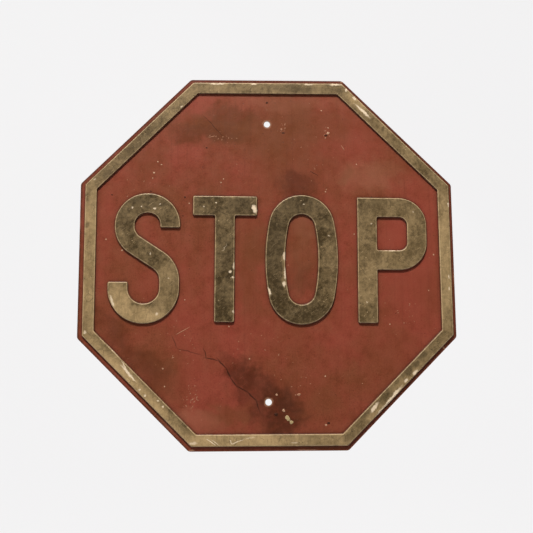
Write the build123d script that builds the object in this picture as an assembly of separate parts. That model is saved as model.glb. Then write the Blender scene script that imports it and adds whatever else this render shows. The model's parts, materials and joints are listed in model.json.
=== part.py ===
"""Embossed octagonal stop sign: one pressed steel blank and the enamel coats on it.

The sign is drawn lying on its back, face up, and is stood up for export: it then faces -Y with
+Z up. The origin is the centre of the two bolt holes, on the plane of the sign's back. Millimetres.
"""
from build123d import *
import math
import os

# Blank
sides = 8
across_flats = 609.6         # from one flat side of the octagon to the opposite one
blank_corner_radius = 8.0    # sheared corners, rounded off
steel_thickness = 1.5        # 16 gauge sheet
hole_diameter = 10.3         # clears a 3/8 in bolt
hole_edge_distance = 76.2    # from each bolt hole to the nearest side, above or below it

# Enamel
coat_thickness = 0.2         # every coat: back, red ground and cream
cream_wrap = 1.0             # how far the cream roller reached down each shoulder
washer_wear_diameter = 16.0  # washers have worn both coats round the bolt holes, this far across
bare_steel_diameter = 11.0   # and have worn them through to the steel inside this

# Pressing, by a punch from the back
relief_height = 3.2          # raised faces above the field
punch_edge_radius = 0.2      # along the edges of the punch's raised faces
punch_corner_radius = 0.7    # at the corners of its shapes, seen from the front
root_radius = 0.7            # along the foot of each raised wall, on the front
straight_wall = 0.2          # least flat left between a wall's two rounded edges
die_offset_x = 1.5           # the die struck this far off the blank's centre
die_offset_z = 1.0

# Border band
rim_width = 6.3              # flat rim left outside the border
border_width = 19.0

# The word, fitted between the border's two upright sides
word_margin = 20.35          # clear field at each end
cap_height = 207.0
stroke = 32.4
overshoot = 3.2              # round letters stand this far past the flat ones, above and below
word_tilt = -0.5             # degrees: the word runs slightly downhill
word_rise = 0.6              # centre of the word above the centre of the die
gap_s_t = 20.1
gap_t_o = 13.5
gap_o_p = 31.9
s_width = 115.0              # letter widths, stretched alike to fill the word's width
t_width = 105.0
o_width = 118.6
p_width = 114.2

# Shapes of the letters
s_upper_inset = 9.0          # the upper bowl's left side, in from the lower bowl's
s_upper_tail = 4.1           # straight run past the upper bowl's end
s_lower_tail = 10.1
s_spine_angle = 33.0         # degrees below level
s_spine_height = 11.1        # where the spine crosses the letter's centre line
o_shoulder = 5.3             # the end arcs' radius is this much under half the width
p_bowl_height = 120.0
p_bowl_radius = 46.0

# Depths from the plane of the back, towards the viewer
steel_back = coat_thickness
steel_front = steel_back + steel_thickness
ground_front = steel_front + coat_thickness
cream_front = ground_front + coat_thickness
slab_floor = -5.0            # working stock below the back, cancelled when one form is cut from another

# A pressed sheet's outside radii are its inside ones plus its thickness
shoulder_radius = punch_edge_radius + ground_front
plan_corner_radius = punch_corner_radius + ground_front
foot_radius = min(root_radius, relief_height - shoulder_radius - straight_wall)

border_across_flats = across_flats - 2 * rim_width
field_across_flats = border_across_flats - 2 * border_width
hole_spacing = across_flats - 2 * hole_edge_distance


def octagon(flats, corner_radius):
    """A face with two level sides, given the distance across its flats."""
    face = RegularPolygon(flats / 2, sides, major_radius=False, rotation=180 / sides)
    return fillet(face.vertices(), corner_radius)


def border_band():
    outer = octagon(border_across_flats, plan_corner_radius)
    return outer - octagon(field_across_flats, plan_corner_radius)


def letter_s(width):
    """A band of constant width along a midline of two bowls and a straight spine."""
    top = cap_height / 2 + overshoot - stroke / 2
    right = width / 2 - stroke / 2
    lower_left = -right
    upper_left = lower_left + s_upper_inset
    slope = math.tan(math.radians(s_spine_angle))
    upper_bend = s_spine_height - upper_left * slope
    lower_bend = s_spine_height - right * slope
    bend_share = 1 + math.tan(math.radians(90 - s_spine_angle) / 2)
    slack = 0.4
    upper_radius = min((right - upper_left) / 2, (top - upper_bend) / bend_share) - slack
    lower_radius = min((right - lower_left) / 2, (top + lower_bend) / bend_share) - slack
    midline = FilletPolyline(
        (right, top - upper_radius - s_upper_tail),
        (right, top),
        (upper_left, top),
        (upper_left, upper_bend),
        (right, lower_bend),
        (right, -top),
        (lower_left, -top),
        (lower_left, -top + lower_radius + s_lower_tail),
        radius=[upper_radius] * 3 + [lower_radius] * 3,
    )
    return trace(midline, line_width=stroke)


def letter_t(width):
    bar = Pos(0, cap_height / 2 - stroke / 2) * Rectangle(width, stroke)
    return bar + Rectangle(stroke, cap_height)


def oval(width, height, end_radius):
    """Four tangent arcs: two ends and two flatter sides."""
    a = width / 2
    b = height / 2
    rise = b - end_radius
    side_radius = (a**2 + rise**2 - end_radius**2) / (2 * (a - end_radius))
    swing = math.atan2(rise, side_radius - a)
    join = (end_radius * math.cos(swing), rise + end_radius * math.sin(swing))
    end = ThreePointArc((-join[0], join[1]), (0, b), join)
    side = ThreePointArc(join, (a, 0), (join[0], -join[1]))
    return make_face([end, side, mirror(end, Plane.XZ), mirror(side, Plane.YZ)])


def letter_o(width):
    height = cap_height + 2 * overshoot
    end_radius = width / 2 - o_shoulder
    outside = oval(width, height, end_radius)
    return outside - oval(width - 2 * stroke, height - 2 * stroke, end_radius - stroke)


def letter_p(width):
    stem = Pos(stroke / 2 - width / 2, 0) * Rectangle(stroke, cap_height)
    bowl_middle = Pos(0, cap_height / 2 - p_bowl_height / 2)
    bowl = bowl_middle * Rectangle(width, p_bowl_height)
    bowl = fillet(bowl.vertices().group_by(Axis.X)[-1], p_bowl_radius)
    counter = bowl_middle * Rectangle(width - 2 * stroke, p_bowl_height - 2 * stroke)
    counter = fillet(counter.vertices().group_by(Axis.X)[-1], p_bowl_radius - stroke)
    return stem + bowl - counter


def soften_corners(face):
    """Round the corners of a letter, where two straight edges meet."""
    straight = face.edges().filter_by(GeomType.LINE)
    corners = [v for v in face.vertices() if sum(e.distance_to(v) < 1e-4 for e in straight) == 2]
    return fillet(corners, plan_corner_radius) if corners else face


def raised_outlines():
    """Every outline that the punch raises, by the name of the piece of cream enamel on it."""
    die = Pos(die_offset_x, die_offset_z)
    word = die * Pos(0, word_rise) * Rot(0, 0, word_tilt)
    word_width = field_across_flats - 2 * word_margin
    gaps = gap_s_t + gap_t_o + gap_o_p
    stretch = (word_width - gaps) / (s_width + t_width + o_width + p_width)
    letters = (
        ("letter_s_enamel", letter_s, s_width, gap_s_t),
        ("letter_t_enamel", letter_t, t_width, gap_t_o),
        ("letter_o_enamel", letter_o, o_width, gap_o_p),
        ("letter_p_enamel", letter_p, p_width, 0),
    )
    outlines = {"border_enamel": die * border_band()}
    left = -word_width / 2
    for name, draw, natural_width, gap_after in letters:
        width = natural_width * stretch
        outlines[name] = word * Pos(left + width / 2, 0) * soften_corners(draw(width))
        left += width + gap_after
    return outlines


def raised_block(outline, level):
    """One raised shape at a given depth through the sheet, with its shoulder rounded.

    The outline is the size of the shape on the front of the ground coat. Deeper in the sheet it
    is smaller by the depth, as in any pressed sheet of even thickness.
    """
    grow = level - ground_front
    face = offset(outline, grow, kind=Kind.INTERSECTION) if grow else outline
    block = Pos(0, 0, slab_floor) * extrude(face, level + relief_height - slab_floor)
    return fillet(block.faces().sort_by(Axis.Z)[-1].edges(), shoulder_radius + grow)


def pressed_form(outlines, level):
    """Solid from the working floor up to the pressed surface at a given depth."""
    stock = across_flats + 100
    form = Pos(0, 0, slab_floor) * extrude(Rectangle(stock, stock), level - slab_floor)
    for outline in outlines:
        form += raised_block(outline, level)
    level_edges = form.edges().filter_by_position(Axis.Z, level - 1e-3, level + 1e-3)
    feet = level_edges.filter_by(lambda edge: edge.length < across_flats)
    return fillet(feet, foot_radius + ground_front - level)


def blanking_tool():
    """What the blanking press leaves: the octagon with its two bolt holes."""
    holes = GridLocations(0, hole_spacing, 1, 2) * Circle(hole_diameter / 2)
    blank = octagon(across_flats, blank_corner_radius) - holes
    return Pos(0, 0, slab_floor) * extrude(blank, cream_front + relief_height - slab_floor)


def washer_wear():
    """What the washers have worn off both coats round the bolt holes: shallow cones."""
    worn = washer_wear_diameter / 2
    bare = bare_steel_diameter / 2
    resting = (Align.CENTER, Align.CENTER, Align.MIN)
    front = Pos(0, 0, steel_front) * Cone(bare, worn, coat_thickness, align=resting)
    back = Cone(worn, bare, coat_thickness, align=resting)
    return GridLocations(0, hole_spacing, 1, 2) * (front + back)


def layer(front_form, back_form, tool):
    """The material between two pressed surfaces, cut to the sign's outline."""
    return (front_form - back_form) & tool


def cream_cap(outline):
    """Cream enamel on one raised face: it covers the top and laps over the shoulder."""
    skin = raised_block(outline, cream_front) - raised_block(outline, ground_front)
    lap = ground_front + relief_height - cream_wrap
    keep = Pos(0, 0, lap) * extrude(Rectangle(across_flats, across_flats), relief_height)
    return skin & keep


def build_sign():
    outlines = raised_outlines()
    tool = blanking_tool()
    wear = washer_wear()
    depths = (ground_front, steel_front, steel_back, 0.0)
    ground, steel_face, steel_rear, rear = (pressed_form(outlines.values(), d) for d in depths)
    pieces = {
        "ground_enamel": layer(ground, steel_face, tool) - wear,
        "steel_blank": layer(steel_face, steel_rear, tool),
        "back_enamel": layer(steel_rear, rear, tool) - wear,
    }
    for name, outline in outlines.items():
        pieces[name] = cream_cap(outline)
    return pieces


os.makedirs("parts", exist_ok=True)
for name, piece in build_sign().items():
    export_step(Plane.XZ * piece, f"parts/{name}.step")
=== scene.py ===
"""Looks of the embossed octagonal stop sign: old baked enamel on pressed steel, and a studio."""
import json
import math
import random

import bmesh
import bpy
from bpy.props import FloatProperty, FloatVectorProperty, PointerProperty
from mathutils import Matrix, Vector


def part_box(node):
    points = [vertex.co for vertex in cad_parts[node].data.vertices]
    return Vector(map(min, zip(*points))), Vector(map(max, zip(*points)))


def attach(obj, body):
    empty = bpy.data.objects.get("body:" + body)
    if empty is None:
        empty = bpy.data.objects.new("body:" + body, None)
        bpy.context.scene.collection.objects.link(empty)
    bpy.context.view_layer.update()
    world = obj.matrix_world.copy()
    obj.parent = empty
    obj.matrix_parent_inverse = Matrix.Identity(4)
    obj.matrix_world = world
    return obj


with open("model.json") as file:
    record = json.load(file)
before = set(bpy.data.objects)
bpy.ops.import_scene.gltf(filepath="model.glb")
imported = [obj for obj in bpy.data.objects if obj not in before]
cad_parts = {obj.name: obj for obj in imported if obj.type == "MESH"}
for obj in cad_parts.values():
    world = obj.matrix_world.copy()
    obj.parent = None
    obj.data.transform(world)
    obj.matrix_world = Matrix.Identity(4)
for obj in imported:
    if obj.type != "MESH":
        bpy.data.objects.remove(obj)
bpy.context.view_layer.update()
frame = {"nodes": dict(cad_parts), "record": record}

bl_info = {
    "name": "Embossed stop sign",
    "version": (1, 0, 0),
    "blender": (4, 5, 0),
    "location": "3D View > Sidebar > Stop Sign",
    "description": "Weathered enamel for a pressed steel stop sign, and a studio to show it in",
    "category": "Object",
}

MM = 0.001

# The sign's own sizes, from the frame
COAT = -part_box("steel_blank")[1].y
RAISED_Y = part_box("ground_enamel")[0].y
FIELD_Y = RAISED_Y + (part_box("back_enamel")[1].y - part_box("back_enamel")[0].y - COAT)
HALF_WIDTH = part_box("steel_blank")[1].x
BOLTS = frame["record"]["mounts"][0]["dims"]
HOLE_Z = BOLTS["spacing_y_mm"] * MM / 2
HOLE_RADIUS = BOLTS["hole_r_mm"] * MM

# The low domes of the flecks, drops and rust spots
DOME_SPREAD = 0.85        # a dome's half width, as a share of its mark's
DOME_RISE = 0.05          # its height, as a share of its mark's lesser half width
LARGE_DOME = 2.0          # a mark this wide or wider, in mm, gets more sides
FEW_SIDES = 10
MANY_SIDES = 20
PALE_FROM = 0.75          # a chip this strong or stronger is pale, a weaker one is dull

LETTER_NODES = ("letter_s_enamel", "letter_t_enamel", "letter_o_enamel", "letter_p_enamel")


# ---------------------------------------------------------------- node helpers

class Tree:
    """Short calls that add nodes to one material or group."""

    def __init__(self, tree):
        self.tree = tree

    def add(self, kind, **settings):
        node = self.tree.nodes.new(kind)
        for key, value in settings.items():
            setattr(node, key, value)
        return node

    def feed(self, socket, value):
        """Link a socket's source, or set the socket's own value."""
        if isinstance(value, bpy.types.NodeSocket):
            self.tree.links.new(value, socket)
        else:
            socket.default_value = value

    def math(self, operation, first, second=0.0, clamp=False):
        node = self.add("ShaderNodeMath", operation=operation, use_clamp=clamp)
        self.feed(node.inputs[0], first)
        self.feed(node.inputs[1], second)
        return node.outputs[0]

    def vector_math(self, operation, first, second=(0.0, 0.0, 0.0)):
        node = self.add("ShaderNodeVectorMath", operation=operation)
        self.feed(node.inputs[0], first)
        if operation == "SCALE":
            self.feed(node.inputs["Scale"], second)
        elif operation != "LENGTH":
            self.feed(node.inputs[1], second)
        return node.outputs["Value" if operation == "LENGTH" else "Vector"]

    def noise(self, where, scale, detail=2.0, roughness=0.5, lacunarity=2.0, output="Fac"):
        node = self.add("ShaderNodeTexNoise")
        self.feed(node.inputs["Vector"], where)
        self.feed(node.inputs["Scale"], scale)
        self.feed(node.inputs["Detail"], detail)
        self.feed(node.inputs["Roughness"], roughness)
        self.feed(node.inputs["Lacunarity"], lacunarity)
        return node.outputs[output]

    def span(self, value, low, high, to_low=0.0, to_high=1.0):
        """A smooth step from one value to another."""
        node = self.add("ShaderNodeMapRange", interpolation_type="SMOOTHSTEP", clamp=True)
        for key, given in zip(range(5), (value, low, high, to_low, to_high)):
            self.feed(node.inputs[key], given)
        return node.outputs[0]

    def mix(self, share, under, over, blend="MIX"):
        node = self.add("ShaderNodeMix", data_type="RGBA", blend_type=blend)
        self.feed(node.inputs[0], share)
        self.feed(node.inputs[6], under)
        self.feed(node.inputs[7], over)
        return node.outputs[2]

    def lay(self, base, mask, strength, tone):
        """One of the user's colours laid over a base, where a mask says and only so strongly."""
        return self.mix(self.math("MULTIPLY", mask, strength), base, colour(tone))

    def place(self, group, **values):
        """A group node with its inputs set. Its first output is returned, or all of them."""
        node = self.add("ShaderNodeGroup")
        node.node_tree = group
        for key, value in values.items():
            self.feed(node.inputs[key.replace("_", " ")], value)
        outputs = list(node.outputs)
        return outputs[0] if len(outputs) == 1 else outputs


def new_group(name, inputs, outputs):
    """An empty node group with named sockets, its Tree, its inputs and its output node."""
    group = bpy.data.node_groups.new(name, "ShaderNodeTree")
    for label, kind, default in inputs:
        socket = group.interface.new_socket(label, in_out="INPUT", socket_type=kind)
        if default is not None:
            socket.default_value = default
    for label, kind in outputs:
        group.interface.new_socket(label, in_out="OUTPUT", socket_type=kind)
    tree = Tree(group)
    source = tree.add("NodeGroupInput")
    result = tree.add("NodeGroupOutput")
    return group, tree, source.outputs, result.inputs


def colour(rgb):
    return (rgb[0], rgb[1], rgb[2], 1.0)


# ---------------------------------------------------------------- shared effects

VECTOR = "NodeSocketVector"
NUMBER = "NodeSocketFloat"
COLOUR = "NodeSocketColor"


def ragged_patch_group():
    """One blotch, chip or scratch: an ellipse with a ragged edge, on the sign's face."""
    group, tree, given, result = new_group("Ragged Patch", [
        ("Position", VECTOR, None),
        ("Centre", VECTOR, (0.0, 0.0, 0.0)),
        ("Turn", VECTOR, (0.0, 0.0, 0.0)),
        ("Size", VECTOR, (0.01, 1.0, 0.01)),
        ("Softness", NUMBER, 0.3),
        ("Strength", NUMBER, 1.0),
    ], [("Mask", NUMBER)])
    local = tree.add("ShaderNodeMapping", vector_type="TEXTURE")
    tree.feed(local.inputs["Vector"], given["Position"])
    tree.feed(local.inputs["Location"], given["Centre"])
    tree.feed(local.inputs["Rotation"], given["Turn"])
    tree.feed(local.inputs["Scale"], given["Size"])
    out_from_centre = tree.vector_math("LENGTH", local.outputs[0])
    inner = tree.math("SUBTRACT", 1.0, given["Softness"])
    outer = tree.math("ADD", 1.0, given["Softness"])
    mask = tree.span(out_from_centre, inner, outer, given["Strength"], 0.0)
    tree.feed(result["Mask"], mask)
    return group


def mottle_group():
    """Uneven colour: two tones mixed by clouds at one scale, with finer ones inside."""
    group, tree, given, result = new_group("Weather Mottle", [
        ("Position", VECTOR, None),
        ("Scale", NUMBER, 10.0),
        ("Contrast", NUMBER, 0.2),
        ("First", COLOUR, None),
        ("Second", COLOUR, None),
    ], [("Colour", COLOUR)])
    clouds = tree.noise(given["Position"], given["Scale"], detail=6.0, roughness=0.62)
    low = tree.math("SUBTRACT", 0.5, given["Contrast"])
    high = tree.math("ADD", 0.5, given["Contrast"])
    share = tree.span(clouds, low, high)
    tree.feed(result["Colour"], tree.mix(share, given["First"], given["Second"]))
    return group


def speckle_group():
    """Scattered small dots of many sizes, denser in some places than others."""
    group, tree, given, result = new_group("Speckle", [
        ("Position", VECTOR, None),
        ("Scale", NUMBER, 200.0),
        ("Share", NUMBER, 0.05),
        ("Size", NUMBER, 0.3),
    ], [("Mask", NUMBER)])
    cells = tree.add("ShaderNodeTexVoronoi", feature="F1")
    tree.feed(cells.inputs["Vector"], given["Position"])
    tree.feed(cells.inputs["Scale"], given["Scale"])
    pick = tree.add("ShaderNodeSeparateColor")
    tree.feed(pick.inputs[0], cells.outputs["Color"])
    gathered = tree.noise(given["Position"], 14.0, detail=2.0)
    dense = tree.span(gathered, 0.4, 0.65, 0.15, 1.0)
    share = tree.math("MULTIPLY", given["Share"], dense)
    chosen = tree.math("LESS_THAN", pick.outputs[0], share)
    radius = tree.math("MULTIPLY", given["Size"], pick.outputs[1])
    edge = tree.math("MULTIPLY", radius, 0.6)
    dot = tree.span(cells.outputs["Distance"], edge, radius, 1.0, 0.0)
    tree.feed(result["Mask"], tree.math("MULTIPLY", dot, chosen))
    return group


def streak_group():
    """Faint upright runs left by rain."""
    group, tree, given, result = new_group("Rain Streaks", [
        ("Position", VECTOR, None),
        ("Width", NUMBER, 0.006),
        ("Length", NUMBER, 0.12),
    ], [("Mask", NUMBER)])
    across = tree.math("DIVIDE", 1.0, given["Width"])
    down = tree.math("DIVIDE", 1.0, given["Length"])
    stretch = tree.add("ShaderNodeCombineXYZ")
    tree.feed(stretch.inputs[0], across)
    tree.feed(stretch.inputs[2], down)
    runs = tree.vector_math("MULTIPLY", given["Position"], stretch.outputs[0])
    tree.feed(result["Mask"], tree.span(tree.noise(runs, 1.0, detail=3.0), 0.5, 0.75))
    return group


def scratch_group():
    """Short fine scratches, all lying one way."""
    group, tree, given, result = new_group("Fine Scratches", [
        ("Position", VECTOR, None),
        ("Turn", VECTOR, (0.0, 0.0, 0.0)),
        ("Fineness", VECTOR, (60.0, 60.0, 1200.0)),
        ("Share", NUMBER, 0.7),
    ], [("Mask", NUMBER)])
    lie = tree.add("ShaderNodeMapping", vector_type="POINT")
    tree.feed(lie.inputs["Vector"], given["Position"])
    tree.feed(lie.inputs["Rotation"], given["Turn"])
    lines = tree.vector_math("MULTIPLY", lie.outputs[0], given["Fineness"])
    strongest = tree.math("ADD", given["Share"], 0.1)
    drawn = tree.noise(lines, 1.0, detail=1.0)
    tree.feed(result["Mask"], tree.span(drawn, given["Share"], strongest))
    return group


def crack_group():
    """Fine wandering cracks, open in some places and closed in others."""
    group, tree, given, result = new_group("Fine Cracks", [
        ("Position", VECTOR, None),
        ("Scale", NUMBER, 70.0),
        ("Width", NUMBER, 0.035),
    ], [("Mask", NUMBER)])
    cells = tree.add("ShaderNodeTexVoronoi", feature="DISTANCE_TO_EDGE")
    tree.feed(cells.inputs["Vector"], given["Position"])
    tree.feed(cells.inputs["Scale"], given["Scale"])
    line = tree.span(cells.outputs["Distance"], 0.0, given["Width"], 1.0, 0.0)
    gathered = tree.span(tree.noise(given["Position"], 40.0, detail=3.0), 0.48, 0.62)
    tree.feed(result["Mask"], tree.math("MULTIPLY", line, gathered))
    return group


def relief_group():
    """Where a point is on the pressing: on a raised face, or on the wall up to it."""
    group, tree, given, result = new_group("Relief", [
        ("Position", VECTOR, None),
        ("Field Depth", NUMBER, FIELD_Y),
        ("Raised Depth", NUMBER, RAISED_Y),
    ], [("Raised", NUMBER), ("Wall", NUMBER), ("Shoulder", NUMBER)])
    axes = tree.add("ShaderNodeSeparateXYZ")
    tree.feed(axes.inputs[0], given["Position"])
    height = tree.add("ShaderNodeMapRange", clamp=True)
    tree.feed(height.inputs[0], axes.outputs[1])
    tree.feed(height.inputs[1], given["Field Depth"])
    tree.feed(height.inputs[2], given["Raised Depth"])
    level = height.outputs[0]
    raised = tree.span(level, 0.93, 1.0)
    lifted = tree.span(level, 0.02, 0.2)
    tree.feed(result["Raised"], raised)
    tree.feed(result["Wall"], tree.math("SUBTRACT", lifted, raised))
    tree.feed(result["Shoulder"], tree.math("SUBTRACT", tree.span(level, 0.7, 0.9),
                                            tree.span(level, 0.985, 1.0)))
    return group


def bolt_hole_group():
    """How near a point is to a bolt hole: 1 at its edge, 0 at the reach."""
    group, tree, given, result = new_group("Round Bolt Holes", [
        ("Position", VECTOR, None),
        ("Hole Height", NUMBER, HOLE_Z),
        ("Edge", NUMBER, HOLE_RADIUS),
        ("Reach", NUMBER, 0.02),
    ], [("Mask", NUMBER)])
    axes = tree.add("ShaderNodeSeparateXYZ")
    tree.feed(axes.inputs[0], given["Position"])
    above = tree.math("SUBTRACT", tree.math("ABSOLUTE", axes.outputs[2]), given["Hole Height"])
    flat = tree.add("ShaderNodeCombineXYZ")
    tree.feed(flat.inputs[0], axes.outputs[0])
    tree.feed(flat.inputs[1], above)
    distance = tree.vector_math("LENGTH", flat.outputs[0])
    tree.feed(result["Mask"], tree.span(distance, given["Edge"], given["Reach"], 1.0, 0.0))
    return group


def octagon_edge_group():
    """How near a point is to the sign's outline: 1 on it, 0 at the reach inside it."""
    group, tree, given, result = new_group("Sheet Edge", [
        ("Position", VECTOR, None),
        ("Half Width", NUMBER, HALF_WIDTH),
        ("Reach", NUMBER, 0.01),
    ], [("Mask", NUMBER)])
    furthest = None
    for eighth in range(4):
        angle = math.pi * eighth / 4
        toward = (math.cos(angle), 0.0, math.sin(angle))
        along = tree.add("ShaderNodeVectorMath", operation="DOT_PRODUCT")
        tree.feed(along.inputs[0], given["Position"])
        along.inputs[1].default_value = toward
        reach = tree.math("ABSOLUTE", along.outputs["Value"])
        furthest = reach if furthest is None else tree.math("MAXIMUM", furthest, reach)
    inner = tree.math("SUBTRACT", given["Half Width"], given["Reach"])
    tree.feed(result["Mask"], tree.span(furthest, inner, given["Half Width"]))
    return group


def grain_group():
    """Height of a baked coat's surface: orange peel, fine pits and slow waves."""
    group, tree, given, result = new_group("Enamel Grain", [
        ("Position", VECTOR, None),
        ("Peel Scale", NUMBER, 260.0),
        ("Pit Scale", NUMBER, 900.0),
    ], [("Height", NUMBER)])
    peel = tree.noise(given["Position"], given["Peel Scale"], detail=3.0)
    pits = tree.noise(given["Position"], given["Pit Scale"], detail=2.0)
    waves = tree.noise(given["Position"], 22.0, detail=2.0)
    fine = tree.math("ADD", tree.math("MULTIPLY", peel, 0.6), tree.math("MULTIPLY", pits, 0.3))
    tree.feed(result["Height"], tree.math("ADD", fine, tree.math("MULTIPLY", waves, 1.4)))
    return group


GROUP_MAKERS = {
    "patch": ragged_patch_group,
    "mottle": mottle_group,
    "speckle": speckle_group,
    "streaks": streak_group,
    "scratches": scratch_group,
    "cracks": crack_group,
    "relief": relief_group,
    "bolt_holes": bolt_hole_group,
    "edge": octagon_edge_group,
    "grain": grain_group,
}
groups = {}


# ---------------------------------------------------------------- marks, placed one by one
# Each mark: x, z of its centre and its half width and half height in mm, its turn in degrees
# anticlockwise as the word is read, and how strong it is. The half width lies along the turn.

DARK_STAINS = (
    (-98, 214, 56, 14, -6, 0.3),
    (-60, 238, 50, 14, 0, 0.2),
    (42, 125, 30, 18, 0, 0.55),
    (-222, -142, 84, 17, -46, 0.4),
    (-40, -190, 34, 18, -50, 0.75),
    (-22, -215, 30, 22, -40, 0.6),
    (-62, -158, 26, 13, -24, 0.4),
    (12, -232, 34, 26, 0, 0.85),
    (20, -260, 36, 22, 0, 0.8),
    (-12, -252, 22, 20, 0, 0.6),
    (55, -30, 20, 22, 0, 0.3),
)
BROWN_ZONES = (
    (-80, 224, 76, 27, -3, 1.0),
    (45, 200, 66, 86, 0, 0.7),
    (56, 20, 26, 70, 0, 0.6),
    (130, 140, 18, 12, 30, 0.6),
    (-58, -250, 34, 16, 10, 0.7),
    (60, -215, 60, 40, 0, 0.3),
    (-190, -170, 60, 20, -46, 0.4),
    (-22, -20, 24, 85, 0, 0.7),
    (-190, 168, 36, 24, 40, 0.5),
    (-72, 128, 50, 14, 0, 0.3),
)
CRIMSON_ZONES = (
    (150, 220, 46, 48, -40, 0.8),
    (232, 0, 50, 105, 0, 0.9),
    (-120, 264, 60, 8, 0, 0.5),
    (-215, 165, 40, 30, 40, 0.2),
    (120, -60, 16, 60, 0, 0.4),
    (200, -150, 60, 40, 20, 0.45),
    (-128, -165, 26, 34, 0, 0.45),
    (10, -130, 60, 24, 0, 0.3),
)
PALE_HAZE = (
    (40, 268, 130, 14, 0, 0.35),
    (-130, -262, 50, 16, 0, 0.7),
    (-232, -195, 12, 40, 45, 0.3),
    (165, 138, 44, 26, 0, 0.7),
    (60, 50, 14, 30, 0, 0.35),
    (54, -30, 14, 40, 0, 0.3),
)
DRIP_LINE = (
    (-150, -133, 10, 0.8, -65, 0.5),
    (-127, -148, 20, 0.8, -15, 0.5),
    (-101, -152, 8, 0.9, -70, 0.7),
    (-90, -160, 11, 0.9, -12, 0.8),
    (-74, -168, 10, 1.0, -50, 0.9),
    (-64, -183, 10, 1.0, -62, 0.9),
    (-55, -197, 10, 1.0, -55, 0.9),
    (-42, -208, 10, 1.0, -32, 0.9),
    (-27, -219, 11, 1.0, -42, 0.9),
    (-17, -234, 9, 0.9, -72, 0.8),
    (-88, 224, 24, 0.7, -48, 0.6),
)
FIELD_CHIPS = (
    (-180, 164, 1.6, 1.6, 0, 1), (-174, 159, 1.4, 1.4, 0, 1), (-186, 145, 2.4, 2.0, 0, 1),
    (-188, 136, 1.2, 1.2, 0, 0.9), (-76, 129, 1.4, 1.4, 0, 1), (-72, 135, 1.2, 1.2, 0, 0.8),
    (-128, 94, 1.4, 1.4, 0, 0.9), (-262, 34, 1.6, 1.4, 0, 0.9), (-236, 16, 1.6, 1.6, 0, 0.9),
    (102, 214, 3.0, 2.6, 0, 1), (102, 223, 1.6, 1.4, 0, 0.9), (97, 206, 1.4, 1.4, 0, 0.8),
    (91, 253, 1.8, 1.4, 0, 0.9), (148, 161, 1.4, 1.4, 0, 0.8), (272, 9, 1.6, 1.6, 0, 1),
    (96, 114, 1.6, 1.2, 0, 0.8), (142, 43, 1.2, 1.2, 0, 0.8), (-134, -65, 1.4, 1.4, 0, 0.8),
    (-63, -108, 1.4, 1.4, 0, 0.9), (-168, -175, 1.6, 1.6, 0, 0.9), (-165, -203, 1.4, 1.4, 0, 0.8),
    (-30, -160, 1.4, 1.4, 0, 0.8), (91, -188, 1.6, 1.4, 0, 0.9), (13, -217, 2.4, 2.2, 0, 1),
    (24, -242, 2.4, 3.2, 20, 1), (91, -265, 2.0, 2.0, 0, 1), (197, -105, 1.4, 1.4, 0, 0.8),
    (220, -103, 1.2, 1.2, 0, 0.7), (230, -72, 1.2, 1.2, 0, 0.7), (262, -50, 1.4, 1.4, 0, 0.8),
    (-92, 207, 7, 0.6, 12, 0.5),
    (-137, -115, 15, 0.7, 29, 0.7), (126, 189, 6, 0.7, -59, 0.7), (24, 220, 1.8, 2.4, 0, 0.55),
    (30, 228, 1.6, 1.6, 0, 0.55), (48, -217, 4.0, 2.6, 0, 0.35), (-50, 160, 1.0, 1.0, 0, 0.7),
    (60, -190, 1.0, 1.0, 0, 0.6), (150, -200, 1.2, 1.0, 0, 0.7), (-205, -70, 1.0, 1.0, 0, 0.6),
)
# Groups of tiny flecks: x, z of the middle, half width and half height, and how many
FLECK_CLUSTERS = (
    (-122, -222, 15, 17, 34), (-80, 206, 24, 9, 16), (26, 222, 7, 14, 10), (100, 214, 8, 12, 8),
    (-150, -150, 40, 50, 14), (60, -190, 60, 40, 14), (210, -90, 40, 40, 16),
    (-200, 120, 60, 60, 12), (70, 180, 60, 60, 16), (-20, -140, 60, 30, 12), (-60, -20, 8, 70, 12),
    (28, -10, 6, 60, 12),
)
OLIVE_BLOBS = ((30, -254, 4.2, 6.2, 35, 0.9), (36, -260, 3.6, 3.6, 0, 0.6))
FIELD_PITS = (
    (-254, 108, 1.8, 1.6, 0, 0.9), (-191, 114, 1.6, 1.4, 0, 0.9), (-135, 104, 1.6, 2.0, 0, 0.9),
    (-138, 73, 1.4, 1.4, 0, 0.8), (-100, 188, 2.0, 1.4, 0, 0.8), (172, 105, 1.6, 1.4, 0, 0.8),
    (78, 145, 10, 0.6, -28, 0.6), (98, 210, 3.4, 2.0, 0, 0.5), (95, -262, 3.0, 2.2, 0, 0.6),
    (0, 266, 2.4, 2.0, 0, 0.7), (27, 214, 3.0, 1.6, 0, 0.7), (12, -248, 4.0, 3.0, 0, 0.5),
)

RIM_CHIPS = (
    (-122, -303, 5, 1.4, 0, 0.8), (127, 303, 4, 1.4, 0, 0.8), (283, -143, 4, 1.4, -67, 0.8),
    (-255, 178, 6, 1.2, 45, 0.6), (-304, 60, 1.2, 10, 0, 0.5), (60, -303.5, 16, 1.0, 0, 0.5),
    (230, 205, 7, 1.0, -45, 0.5), (304, -30, 1.0, 12, 0, 0.5),
)

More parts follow.
